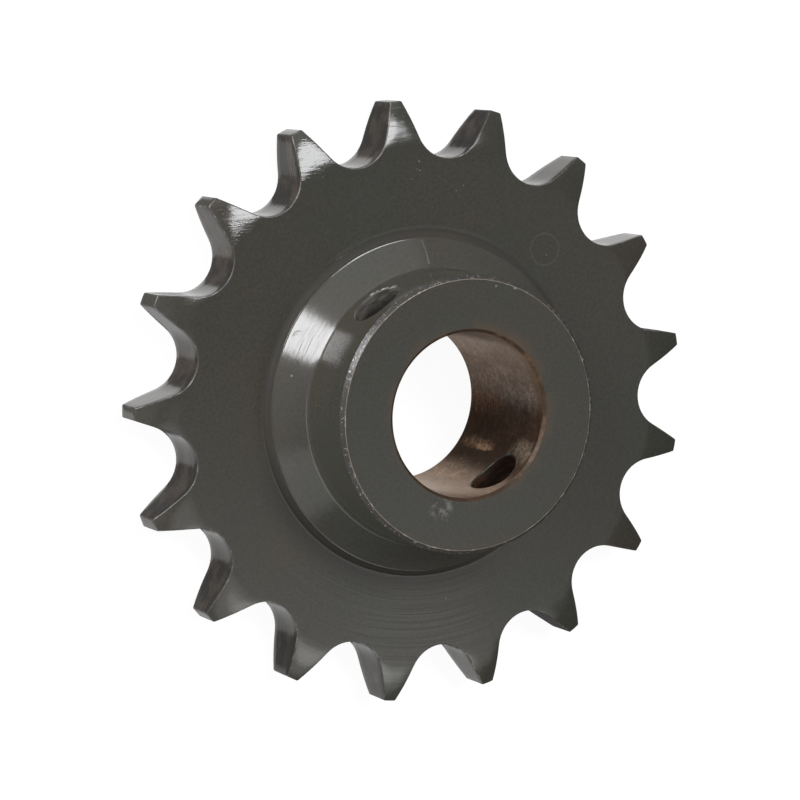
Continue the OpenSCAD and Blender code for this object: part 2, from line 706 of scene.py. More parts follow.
class Graph:
    """A small builder of node trees."""

    def __init__(self, tree: bpy.types.NodeTree) -> None:
        """Takes the tree to build in.

        Args:
            tree: An empty node tree.
        """
        self.tree = tree

    def node(
        self, kind: str, inputs: dict[str | int, object] | None = None, **settings: object
    ) -> bpy.types.Node:
        """Adds a node.

        Args:
            kind: The node's type.
            inputs: Values or sockets for its inputs, by name or number.
            settings: Properties to set on it.

        Returns:
            The new node.
        """
        node = self.tree.nodes.new(kind)
        for name, value in settings.items():
            setattr(node, name, value)
        for key, value in (inputs or {}).items():
            self.feed(node.inputs[key], value)
        return node

    def feed(self, socket: Socket, value: object) -> None:
        """Links a socket to an input, or sets the input's own value.

        Args:
            socket: The input.
            value: Another node's output, or a plain value.
        """
        if isinstance(value, bpy.types.NodeSocket):
            self.tree.links.new(value, socket)
        else:
            socket.default_value = value

    def math(self, operation: str, first: object, second: object = 0.0, third: object = 0.0) -> Socket:
        """Adds a Math node.

        Args:
            operation: The node's operation.
            first: Its first value.
            second: Its second value.
            third: Its third value.

        Returns:
            The result.
        """
        inputs = {0: first, 1: second, 2: third}
        return self.node("ShaderNodeMath", inputs, operation=operation).outputs[0]

    def vector(
        self, operation: str, first: object, second: object = (0, 0, 0), third: object = (0, 0, 0)
    ) -> Socket:
        """Adds a Vector Math node.

        Args:
            operation: The node's operation.
            first: Its first vector.
            second: Its second vector.
            third: Its third vector.

        Returns:
            The resulting vector.
        """
        inputs = {0: first, 1: second, 2: third}
        return self.node("ShaderNodeVectorMath", inputs, operation=operation).outputs[0]

    def measure(self, operation: str, first: object, second: object = (0, 0, 0)) -> Socket:
        """Adds a Vector Math node that gives a number.

        Args:
            operation: The node's operation.
            first: Its first vector.
            second: Its second vector.

        Returns:
            The resulting number.
        """
        inputs = {0: first, 1: second}
        return self.node("ShaderNodeVectorMath", inputs, operation=operation).outputs[1]

    def scale(self, vector: object, factor: object) -> Socket:
        """Makes a vector or a colour longer or shorter.

        Args:
            vector: The vector or colour.
            factor: By how much.

        Returns:
            The resulting vector.
        """
        inputs = {0: vector, "Scale": factor}
        return self.node("ShaderNodeVectorMath", inputs, operation="SCALE").outputs[0]

    def place(self) -> Socket:
        """Adds the coordinates of the object itself."""
        return self.node("ShaderNodeTexCoord").outputs["Object"]

    def stretch(self, place: Socket, factors: Point) -> Socket:
        """Stretches coordinates along the three axes."""
        inputs = {"Vector": place, "Scale": factors}
        return self.node("ShaderNodeMapping", inputs).outputs[0]

    def spread(
        self, value: object, low: float, high: float, start: float = 0.0, end: float = 1.0
    ) -> Socket:
        """Maps a value from one range to another and holds it there.

        Args:
            value: The value.
            low: Where the old range starts.
            high: Where it ends.
            start: Where the new range starts.
            end: Where it ends.

        Returns:
            The mapped value.
        """
        inputs = {"Value": value, "From Min": low, "From Max": high, "To Min": start, "To Max": end}
        return self.node("ShaderNodeMapRange", inputs, interpolation_type="SMOOTHSTEP").outputs[0]

    def blend(self, share: object, first: object, second: object) -> Socket:
        """Mixes two colours, through the colour sockets that a Mix node has beside its others.

        Args:
            share: How much of the second colour there is.
            first: The first colour.
            second: The second colour.

        Returns:
            The mixed colour.
        """
        node = self.node("ShaderNodeMix", data_type="RGBA", clamp_factor=True)
        self.feed(node.inputs[0], share)
        self.feed(node.inputs[6], first)
        self.feed(node.inputs[7], second)
        return node.outputs[2]

    def noise(self, place: Socket, scale: float, detail: float = 2.0, rough: float = 0.5) -> Socket:
        """Adds a noise texture.

        Args:
            place: The coordinates to read it at.
            scale: Its scale.
            detail: Its octaves.
            rough: How strong the fine octaves are.

        Returns:
            The noise, about 0.5.
        """
        inputs = {"Vector": place, "Scale": scale, "Detail": detail, "Roughness": rough}
        return self.node("ShaderNodeTexNoise", inputs).outputs[0]

    def bump(self, shader: bpy.types.Node, height: Socket, depth: float) -> None:
        """Shades a surface as if it had a fine relief.

        Args:
            shader: The shader that the relief is for.
            height: The relief's height.
            depth: How deep a height of one is, in metres.
        """
        inputs = {"Height": height, "Distance": depth, "Strength": 1.0}
        self.feed(shader.inputs["Normal"], self.node("ShaderNodeBump", inputs).outputs[0])


class TurnedPlace:
    """Coordinates that follow a turned surface: along its half section and round its axis."""

    def __init__(self, graph: Graph) -> None:
        """Adds the nodes that work the coordinates out.

        Args:
            graph: The material's graph.
        """
        self.graph = graph
        self.place = graph.place()
        split = graph.node("ShaderNodeSeparateXYZ", {0: self.place}).outputs
        self.height = split[2]
        flat = graph.node("ShaderNodeCombineXYZ", {0: split[0], 1: split[1]}).outputs[0]
        self.radius = graph.measure("LENGTH", flat)
        self.round = graph.vector("NORMALIZE", flat)
        self.along = graph.math("SUBTRACT", self.radius, self.height)

    def bearing(self, azimuth: float) -> Socket:
        """Gives the angle round the axis, counted from a given azimuth.

        Args:
            azimuth: The azimuth that counts as nought, in degrees.

        Returns:
            The angle in radians, from minus pi to pi.
        """
        graph, angle = self.graph, math.radians(azimuth)
        ahead = (math.cos(angle), math.sin(angle), 0)
        aside = (-math.sin(angle), math.cos(angle), 0)
        cosine = graph.measure("DOT_PRODUCT", self.round, ahead)
        sine = graph.measure("DOT_PRODUCT", self.round, aside)
        return graph.math("ARCTAN2", sine, cosine)

    def stretched(self, across: float, around: float) -> Socket:
        """Gives coordinates for marks that run round the axis.

        Args:
            across: Marks for each metre along the half section.
            around: How often they change round a radian.

        Returns:
            The coordinates.
        """
        graph = self.graph
        lift = graph.math("MULTIPLY", self.along, across)
        step = graph.node("ShaderNodeCombineXYZ", {2: lift}).outputs[0]
        return graph.vector("ADD", graph.scale(self.round, around), step)


@dataclass(frozen=True)
class Grain:
    """A cloudy pattern: how fine it is, how many finer layers it has and how strong they are."""

    scale: float
    layers: float = 2.0
    rough: float = 0.5

    def at(self, graph: Graph, place: Socket) -> Socket:
        """Reads the pattern at a place, as a value about 0.5."""
        return graph.noise(place, self.scale, self.layers, self.rough)


@dataclass(frozen=True)
class TurnedGrain:
    """A pattern that runs round the axis, as a tool leaves it on a turned face."""

    across: float
    around: float
    layers: float = 2.0
    rough: float = 0.5

    def at(self, turned: TurnedPlace) -> Socket:
        """Reads the pattern at a turned place, as a value about 0.5."""
        place = turned.stretched(self.across, self.around)
        return turned.graph.noise(place, 1, self.layers, self.rough)


@dataclass(frozen=True)
class Band:
    """A range of values that is turned smoothly into another."""

    low: float
    high: float
    start: float = 0.0
    end: float = 1.0

    def of(self, graph: Graph, value: Socket, unit: float = 1.0) -> Socket:
        """Turns a value of the first range, which is counted in a unit, into one of the second."""
        return graph.spread(value, self.low * unit, self.high * unit, self.start, self.end)


def new_material(name: str) -> tuple[bpy.types.Material, Graph, bpy.types.Node]:
    """Makes a material with an empty Principled shader.

    Args:
        name: The material's name.

    Returns:
        The material, its graph and its shader node.
    """
    material = bpy.data.materials.new(name)
    material.use_nodes = True
    material.node_tree.nodes.clear()
    graph = Graph(material.node_tree)
    shader = graph.node("ShaderNodeBsdfPrincipled")
    graph.node("ShaderNodeOutputMaterial", {0: shader.outputs[0]})
    return material, graph, shader


@dataclass(frozen=True)
class Nick:
    """A small pale nick in the surface, with its place and size in millimetres."""

    place: Point
    radius: float
    strength: float = 1.0
    core: float = 0.4

    def mask(self, graph: Graph, place: Socket) -> Socket:
        """Shows where the nick is.

        Args:
            graph: The material's graph.
            place: Coordinates on the surface.

        Returns:
            The nick's strength, from 0 to 1.
        """
        away = graph.measure("DISTANCE", place, Vector(self.place) * MM)
        reach = self.radius * MM
        return graph.spread(away, self.core * reach, reach, self.strength, 0)


@dataclass(frozen=True)
class Scratch:
    """A pale scratch from one place to another, in millimetres."""

    start: Point
    end: Point
    width: float
    strength: float = 1.0
    core: float = 0.3

    def mask(self, graph: Graph, place: Socket) -> Socket:
        """Shows where the scratch is.

        Args:
            graph: The material's graph.
            place: Coordinates on the surface.

        Returns:
            The scratch's strength, from 0 to 1.
        """
        start = Vector(self.start) * MM
        run = Vector(self.end) * MM - start
        offset = graph.vector("SUBTRACT", place, start)
        share = graph.measure("DOT_PRODUCT", offset, run / run.length_squared)
        share = graph.node("ShaderNodeClamp", {0: share}).outputs[0]
        away = graph.measure("DISTANCE", offset, graph.scale(run, share))
        reach = self.width * MM
        return graph.spread(away, self.core * reach, reach, self.strength, 0)


@dataclass(frozen=True)
class RingMark:
    """A faint round mark that something pressed into a face, in millimetres."""

    place: Point
    radius: float
    width: float
    strength: float = 1.0
    core: float = 0.2

    def mask(self, graph: Graph, place: Socket) -> Socket:
        """Shows where the mark is.

        Args:
            graph: The material's graph.
            place: Coordinates on the surface.

        Returns:
            The mark's strength, from 0 to 1.
        """
        away = graph.measure("DISTANCE", place, Vector(self.place) * MM)
        off = graph.math("ABSOLUTE", graph.math("SUBTRACT", away, self.radius * MM))
        reach = self.width * MM
        return graph.spread(off, self.core * reach, reach, self.strength, 0)


def widest(graph: Graph, masks: Sequence[Socket]) -> Socket:
    """Joins masks into one.

    Args:
        graph: The material's graph.
        masks: The masks.

    Returns:
        The strongest of them everywhere.
    """
    joined = masks[0]
    for mask in masks[1:]:
        joined = graph.math("MAXIMUM", joined, mask)
    return joined


@dataclass(frozen=True)
class RingLine:
    """A pale ring round a part of the wheel, laid only on the side where it catches the light: partly a
    tool mark, partly a painted highlight.

    Its radius, width and lowest height are in millimetres, the azimuth of its middle is in
    degrees, and the turns to each side at which it starts to fade and ends are in radians.
    """

    radius: float
    above: float
    azimuth: float
    full_turn: float
    end_turn: float
    width: float
    strength: float
    core: float = 0.2

    def mask(self, graph: Graph, turned: TurnedPlace) -> Socket:
        """Shows where the line is.

        Args:
            graph: The material's graph.
            turned: Coordinates that follow the turned surface.

        Returns:
            The line's strength, from 0 to 1.
        """
        off = graph.math("ABSOLUTE", graph.math("SUBTRACT", turned.radius, self.radius * MM))
        reach = self.width * MM
        line = graph.spread(off, self.core * reach, reach, self.strength, 0)
        away = graph.math("ABSOLUTE", turned.bearing(self.azimuth))
        side = graph.spread(away, self.full_turn, self.end_turn, 1, 0)
        high = graph.math("GREATER_THAN", turned.height, self.above * MM)
        return graph.math("MULTIPLY", graph.math("MULTIPLY", line, high), side)


@dataclass(frozen=True)
class PaintedCollarShadow:
    """Painted shadow of the collar: the plate darkened on one side of the collar's foot, the side away
    from the oval lamp.

    The bands are in millimetres of radius, millimetres of height and radians round the axis.
    """

    azimuth: float = 35.0
    radius_band: Band = Band(20.8, 24.8, 0.5, 0)
    height_band: Band = Band(7.9, 8.1, 1, 0)
    side_band: Band = Band(0.5, 1.1, 1, 0)
    colour: Colour = (0.024, 0.02, 0.016, 1)

    def lay_shadow(self, graph: Graph, turned: TurnedPlace, colour: Socket) -> Socket:
        """Darkens a colour where the painted shadow lies.

        Args:
            graph: The material's graph.
            turned: Coordinates that follow the turned surface.
            colour: The clean colour.

        Returns:
            The colour with the painted shadow on it.
        """
        near = self.radius_band.of(graph, turned.radius, MM)
        flat = self.height_band.of(graph, turned.height, MM)
        away = graph.math("ABSOLUTE", turned.bearing(self.azimuth))
        side = self.side_band.of(graph, away)
        share = graph.math("MULTIPLY", graph.math("MULTIPLY", near, flat), side)
        return graph.blend(share, colour, self.colour)


@dataclass(frozen=True)
class TurnedSteel:
    """Dark oiled steel with fine rings from the lathe tool, nicks and faint stains, with a painted collar
    shadow and a few painted highlights.

    Places and the bands of radius and height are in millimetres, depths in metres, and the
    depths of the cone's rings and of the strokes are in turning rings.
    """

    name: str = "turned_steel"
    colour: Colour = (0.0475, 0.0475, 0.039, 1)
    warm: Colour = (0.0545, 0.0485, 0.0385, 1)
    pale: Colour = (0.26, 0.25, 0.235, 1)
    rust: Colour = (0.085, 0.058, 0.04, 1)
    dirt: Colour = (0.024, 0.02, 0.016, 1)
    burr_colour: Colour = (0.62, 0.6, 0.57, 1)
    cloud: Grain = Grain(75)
    cloud_band: Band = Band(0.35, 0.75)
    grain: Grain = Grain(2600)
    grain_gain: float = 0.6
    grain_base: float = 0.7
    patches: Grain = Grain(170, 3)
    patch_band: Band = Band(0.35, 0.7)
    halo_band: Band = Band(10.3, 12.2, 1, 0)
    roughness: float = 0.12
    smudge_roughness: float = 0.3
    rings: TurnedGrain = TurnedGrain(4200, 1.2)
    ring_depth: float = 0.000006
    ring_roughness: float = 0.06
    cone_rings: TurnedGrain = TurnedGrain(3400, 4)
    cone_depth: float = 4.6
    cone_height: Band = Band(7.4, 7.6)
    cone_radius: Band = Band(16.9, 17.1)
    face_band: Band = Band(19.4, 19.6)
    face_paler: float = -0.02
    face_roughness: float = 0.06
    strokes: Grain = Grain(1, 3, 0.6)
    stroke_azimuth: float = -32.0
    stroke_size: Point = (0.0032, 0.00042, 0.002)
    stroke_depth: float = 3.6
    stroke_middle: float = -98.0
    stroke_turn: Band = Band(0.5, 0.65, 1, 0.25)
    relief_band: Band = Band(31, 32)
    flecks: Grain = Grain(2.2, 3, 0.7)
    fleck_band: Band = Band(0.6, 0.68)
    fleck_roughness: float = 0.35
    grooves: TurnedGrain = TurnedGrain(3500, 1.5, 1, 0.4)
    groove_band: Band = Band(0.35, 0.65)
    groove_place: Point = (17.5, 23.0, 7.0)
    groove_radius: float = 12.0
    groove_tone: float = 0.36
    wobble_scale: float = 3000.0
    wobble: float = 0.12
    spatter: Nick = Nick((9.6, 6.6, 20.0), 2.1, 0.55)
    spots: Grain = Grain(900, 3, 0.6)
    spot_band: Band = Band(0.45, 0.68)
    marks: tuple[Nick | Scratch | RingMark, ...] = (
        Scratch((-11.44, -16.66, 8.2), (-10.72, -15.52, 9.3), 0.15, 0.22),
        Scratch((-10.72, -15.52, 9.3), (-9.82, -14.5, 10.25), 0.14, 0.35),
        # a short polished streak at the collar's foot, whose brightness is a painted highlight
        Scratch((-1.4, -21.4, 7.1), (-3.1, -21.15, 7.1), 0.14, 0.45),
        Nick((12.13, -14.59, 9.14), 0.2, 0.8),
        Nick((-5.95, -30.47, 7.0), 0.14, 0.4),
        Nick((-16.47, -23.6, 7.0), 0.13, 0.4),
        Nick((-15.21, -23.03, 7.0), 0.12, 0.35),
        Nick((-19.12, -18.27, 7.0), 0.13, 0.35),
        Nick((-17.26, -24.22, 7.0), 0.17, 0.6),
        Nick((-16.67, -23.29, 7.0), 0.15, 0.5),
        Nick((-20.27, -18.2, 7.0), 0.14, 0.35),
        Nick((-24.3, -4.2, 7.0), 0.16, 0.35),
        Nick((11.9, 21.6, 7.0), 0.15, 0.4),
        Nick((-13.84, -8.58, 20.0), 0.35, 0.9),
        Nick((-11.9, -10.3, 20.0), 0.22, 0.5),
        RingMark((-24.55, -4.9, 7.0), 1.95, 0.16, 0.1),
    )
    stains: tuple[Nick, ...] = (
        Nick((-20.73, -11.44, 7.0), 1.3, 0.35),
        Nick((-18.71, -14.44, 7.0), 1.1, 0.35),
        Nick((-19.27, -5.83, 7.0), 1.2, 0.3),
        Nick((-3.56, -16.35, 20.0), 0.9, 0.6),
    )
    smudges: tuple[Scratch, ...] = (
        Scratch((8.9, -18.05, 8.3), (8.42, -18.21, 8.3), 0.12, 0.8),
        Scratch((8.42, -18.21, 8.3), (8.0, -18.13, 8.5), 0.12, 0.8),
        Scratch((8.0, -18.13, 8.5), (7.85, -17.9, 8.7), 0.1, 0.7),
        Scratch((8.3, -17.95, 8.55), (8.76, -18.0, 8.34), 0.09, 0.7),
    )
    tool_lines_and_highlights: tuple[RingLine, ...] = (
        # pale rings at the neck and at the collar's foot, each a painted highlight on one side
        RingLine(17.14, 9.8, -5, 0.4, 0.9, 0.09, 0.35),
        RingLine(21.75, 6.9, -122, 0.3, 0.75, 0.3, 0.055),
    )
    burrs: tuple[Nick, ...] = (
        Nick((-1.2, -16.76, 11.8), 0.5),
        Nick((-1.65, -16.72, 12.0), 0.45),
        Nick((-2.44, -16.62, 12.56), 0.5),
        Nick((-2.75, -16.57, 12.95), 0.35, 0.8),
        Nick((-3.22, -16.49, 13.76), 0.45, 0.9),
        Nick((-3.4, -16.45, 14.2), 0.3, 0.6),
    )
    crumbs: Grain = Grain(3500, 3, 0.7)
    crumb_band: Band = Band(0.38, 0.55)

    def shaken(self, graph: Graph, place: Socket) -> Socket:
        """Shakes coordinates a little, so that the borders of marks are uneven.

        Args:
            graph: The material's graph.
            place: Coordinates on the surface.

        Returns:
            The uneven coordinates.
        """
        swing = self.wobble * MM
        inputs = {"Vector": place, "Scale": self.wobble_scale}
        uneven = graph.node("ShaderNodeTexNoise", inputs).outputs["Color"]
        uneven = graph.vector("MULTIPLY_ADD", uneven, (swing,) * 3, (-swing / 2,) * 3)
        return graph.vector("ADD", place, uneven)

    def clean_colour(self, graph: Graph, turned: TurnedPlace, face: Socket) -> Socket:
        """Gives the colour of the clean, oiled steel.

        Args:
            graph: The material's graph.
            turned: Coordinates that follow the turned surface.
            face: Where the hub's front face is.

        Returns:
            The colour, with grain and the coarse grooves on one side of the plate.
        """
        grooved = Nick(self.groove_place, self.groove_radius).mask(graph, turned.place)
        grooves = self.groove_band.of(graph, self.grooves.at(turned))
        grooves = graph.math("MULTIPLY", grooved, grooves)
        cloud = self.cloud_band.of(graph, self.cloud.at(graph, turned.place))
        grain = self.grain.at(graph, turned.place)
        shade = graph.math("MULTIPLY_ADD", grain, self.grain_gain, self.grain_base)
        shade = graph.math("MULTIPLY_ADD", face, self.face_paler, shade)
        shade = graph.math("MULTIPLY_ADD", grooves, self.groove_tone, shade)
        return graph.scale(graph.blend(cloud, self.colour, self.warm), shade)

    def used_colour(
        self, graph: Graph, turned: TurnedPlace, place: Socket, smudged: Socket, colour: Socket
    ) -> Socket:
        """Lays rust, stains, smudges, the painted collar shadow, nicks, pale tool rings with painted
        highlights and the burr over a colour.

        Args:
            graph: The material's graph.
            turned: Coordinates that follow the turned surface.
            place: The uneven coordinates.
            smudged: Where the smudges are.
            colour: The clean colour.

        Returns:
            The colour of the used wheel.
        """
        patchy = self.patch_band.of(graph, self.patches.at(graph, turned.place))
        halo = self.halo_band.of(graph, turned.radius, MM)
        colour = graph.blend(graph.math("MULTIPLY", halo, patchy), colour, self.rust)
        stained = widest(graph, [stain.mask(graph, place) for stain in self.stains])
        colour = graph.blend(graph.math("MULTIPLY", stained, patchy), colour, self.rust)
        colour = graph.blend(smudged, colour, self.dirt)
        # painted shadow of the collar on the plate, on the side away from the oval lamp
        colour = PaintedCollarShadow().lay_shadow(graph, turned, colour)
        spots = self.spot_band.of(graph, self.spots.at(graph, place))
        spatter = graph.math("MULTIPLY", self.spatter.mask(graph, place), spots)
        # pale marks and pale rings, some of them painted highlights, all laid in the pale colour
        worn = [mark.mask(graph, place) for mark in self.marks]
        worn += [line.mask(graph, turned) for line in self.tool_lines_and_highlights]
        colour = graph.blend(widest(graph, [*worn, spatter]), colour, self.pale)
        burr = widest(graph, [burr.mask(graph, place) for burr in self.burrs])
        crumbs = self.crumb_band.of(graph, self.crumbs.at(graph, turned.place))
        return graph.blend(graph.math("MULTIPLY", burr, crumbs), colour, self.burr_colour)

    def make(self) -> bpy.types.Material:
        """Builds the material.

        Returns:
            The finished material.
        """
        material, graph, shader = new_material(self.name)
        turned = TurnedPlace(graph)
        place = self.shaken(graph, turned.place)
        face = self.face_band.of(graph, turned.height, MM)
        smudged = widest(graph, [smudge.mask(graph, place) for smudge in self.smudges])
        colour = self.clean_colour(graph, turned, face)
        colour = self.used_colour(graph, turned, place, smudged, colour)
        graph.feed(shader.inputs["Base Color"], colour)
        slant = (0, 0, math.radians(self.stroke_azimuth))
        inputs = {"Vector": turned.place, "Rotation": slant, "Scale": self.stroke_size}
        drawn = graph.node("ShaderNodeMapping", inputs, vector_type="TEXTURE").outputs[0]
        aside = graph.math("ABSOLUTE", turned.bearing(self.stroke_middle))
        relief = self.relief_band.of(graph, turned.radius, MM)
        relief = graph.math("MULTIPLY", relief, self.stroke_turn.of(graph, aside))
        flecks = self.fleck_band.of(graph, self.flecks.at(graph, drawn))
        flecks = graph.math("MULTIPLY", flecks, relief)
        rings = self.rings.at(turned)
        smoothest = self.roughness - self.ring_roughness / 2
        rough = graph.math("MULTIPLY_ADD", rings, self.ring_roughness, smoothest)
        rough = graph.math("MULTIPLY_ADD", smudged, self.smudge_roughness, rough)
        rough = graph.math("MULTIPLY_ADD", face, self.face_roughness, rough)
        rough = graph.math("MULTIPLY_ADD", flecks, self.fleck_roughness, rough)
        graph.feed(shader.inputs["Roughness"], rough)
        above = self.cone_height.of(graph, turned.height, MM)
        cone = graph.math("MULTIPLY", above, self.cone_radius.of(graph, turned.radius, MM))
        cone_rings = graph.math("MULTIPLY", cone, self.cone_rings.at(turned))
        strokes = graph.math("MULTIPLY", relief, self.strokes.at(graph, drawn))
        height = graph.math("MULTIPLY_ADD", cone_rings, self.cone_depth, rings)
        height = graph.math("MULTIPLY_ADD", strokes, self.stroke_depth, height)
        graph.bump(shader, height, self.ring_depth)
        return material


@dataclass(frozen=True)
class DullSteel:
    """Dull, dirty steel in the corner at the collar's foot, with the painted collar shadow on one side."""

    name: str = "dull_steel"
    colour: Colour = (0.05, 0.048, 0.043, 1)
    dirt: Colour = (0.06, 0.053, 0.046, 1)
    rings: TurnedGrain = TurnedGrain(3500, 2.5, 3, 0.6)
    dirt_band: Band = Band(0.35, 0.7)
    specular: float = 0.06
    roughness: float = 0.6

    def make(self) -> bpy.types.Material:
        """Builds the material.

        Returns:
            The finished material.
        """
        material, graph, shader = new_material(self.name)
        turned = TurnedPlace(graph)
        dirty = self.dirt_band.of(graph, self.rings.at(turned))
        colour = graph.blend(dirty, self.colour, self.dirt)
        # the painted collar shadow darkens this corner too, on one side
        graph.feed(shader.inputs["Base Color"], PaintedCollarShadow().lay_shadow(graph, turned, colour))
        shader.inputs["Specular IOR Level"].default_value = self.specular
        shader.inputs["Roughness"].default_value = self.roughness
        return material


@dataclass(frozen=True)
class HobbedSteel:
    """Oiled steel of the tooth gaps, with faint marks of the cutter along the gap's outline."""

    name: str = "hobbed_steel"
    colour: Colour = (0.024, 0.022, 0.019, 1)
    brown: Colour = (0.062, 0.05, 0.041, 1)
    cloud: Grain = Grain(420, 3)
    cloud_band: Band = Band(0.4, 0.65)
    marks: Grain = Grain(2300, 3, 0.6)
    mark_band: Band = Band(0.3, 0.7, -0.35, 0.35)
    stretch: Point = (0.12, 0.12, 1.0)
    specular: float = 0.36
    roughness: float = 0.11
    mark_roughness: float = 0.16
    depth: float = 0.000022

    def make(self) -> bpy.types.Material:
        """Builds the material.

        Returns:
            The finished material.
        """
        material, graph, shader = new_material(self.name)
        place = graph.place()
        cloud = self.cloud_band.of(graph, self.cloud.at(graph, place))
        marks = self.marks.at(graph, graph.stretch(place, self.stretch))
        share = graph.math("ADD", cloud, self.mark_band.of(graph, marks))
        graph.feed(shader.inputs["Base Color"], graph.blend(share, self.colour, self.brown))
        shader.inputs["Specular IOR Level"].default_value = self.specular
        smoothest = self.roughness - self.mark_roughness / 2
        rough = graph.math("MULTIPLY_ADD", marks, self.mark_roughness, smoothest)
        graph.feed(shader.inputs["Roughness"], rough)
        graph.bump(shader, marks, self.depth)
        return material


@dataclass(frozen=True)
class EdgeSteel:
    """Edges, a little brighter in places than the faces that they part: partly worn by rubbing, partly a
    painted highlight.
    """

    name: str = "edge_steel"
    colour: Colour = (0.2, 0.19, 0.175, 1)
    dull: Colour = (0.055, 0.053, 0.047, 1)
    roughness: float = 0.42
    specular: float = 0.3
    patches: Grain = Grain(900, 3, 0.65)
    patch_band: Band = Band(0.5, 0.68)

    def make(self) -> bpy.types.Material:
        """Builds the material.

        Returns:
            The finished material.
        """
        material, graph, shader = new_material(self.name)
        # paler patches along the edges: partly wear, partly painted highlight
        edge_wear_and_sheen = self.patch_band.of(graph, self.patches.at(graph, graph.place()))
        graph.feed(shader.inputs["Base Color"], graph.blend(edge_wear_and_sheen, self.dull, self.colour))
        shader.inputs["Specular IOR Level"].default_value = self.specular
        shader.inputs["Roughness"].default_value = self.roughness
        return material


@dataclass(frozen=True)
class WornSteel:
    """The hub's front chamfer: dull, knocked and bright only in ragged patches."""

    name: str = "worn_steel"
    colour: Colour = (0.042, 0.04, 0.036, 1)
    pale: Colour = (0.42, 0.4, 0.37, 1)
    patches: TurnedGrain = TurnedGrain(2200, 48, 4, 0.7)
    pale_band: Band = Band(0.55, 0.7)
    rough_band: Band = Band(0.4, 0.6, 0.37, 0.12)
    dents: Grain = Grain(1900, 3, 0.65)
    dent_depth: float = 0.00006
    specular: float = 0.27

    def make(self) -> bpy.types.Material:
        """Builds the material.

        Returns:
            The finished material.
        """
        material, graph, shader = new_material(self.name)
        turned = TurnedPlace(graph)
        patchy = self.patches.at(turned)
        colour = graph.blend(self.pale_band.of(graph, patchy), self.colour, self.pale)
        graph.feed(shader.inputs["Base Color"], colour)
        shader.inputs["Specular IOR Level"].default_value = self.specular
        graph.feed(shader.inputs["Roughness"], self.rough_band.of(graph, patchy))
        graph.bump(shader, self.dents.at(graph, turned.place), self.dent_depth)
        return material


@dataclass(frozen=True)
class BorePatch:
    """A coloured patch on the bore's wall, with its place in degrees and millimetres: stains, patches of
    rubbing and painted reflections are laid with it.
    """

    azimuth: float
    height: float
    half_turn: float
    half_height: float
    colour: tuple[float, float, float]
    strength: float = 1.0
    ragged: float = 0.5
    core: float = 0.4

    def mask(self, graph: Graph, turned: TurnedPlace, rough: Socket) -> Socket:
        """Shows where the patch is.

        Args:
            graph: The material's graph.
            turned: Coordinates that follow the bore.
            rough: A noise that makes the patch's border uneven.

        Returns:
            The patch's strength, from 0 to 1.
        """
        across = graph.math("DIVIDE", turned.bearing(self.azimuth), math.radians(self.half_turn))
        up = graph.math("SUBTRACT", turned.height, self.height * MM)
        up = graph.math("DIVIDE", up, self.half_height * MM)
        away = graph.math("ADD", graph.math("POWER", across, 2), graph.math("POWER", up, 2))
        away = graph.math("SQRT", away)
        away = graph.math("MULTIPLY_ADD", rough, self.ragged, away)
        shift = self.ragged / 2
        return graph.spread(away, self.core + shift, 1 + shift, self.strength, 0)


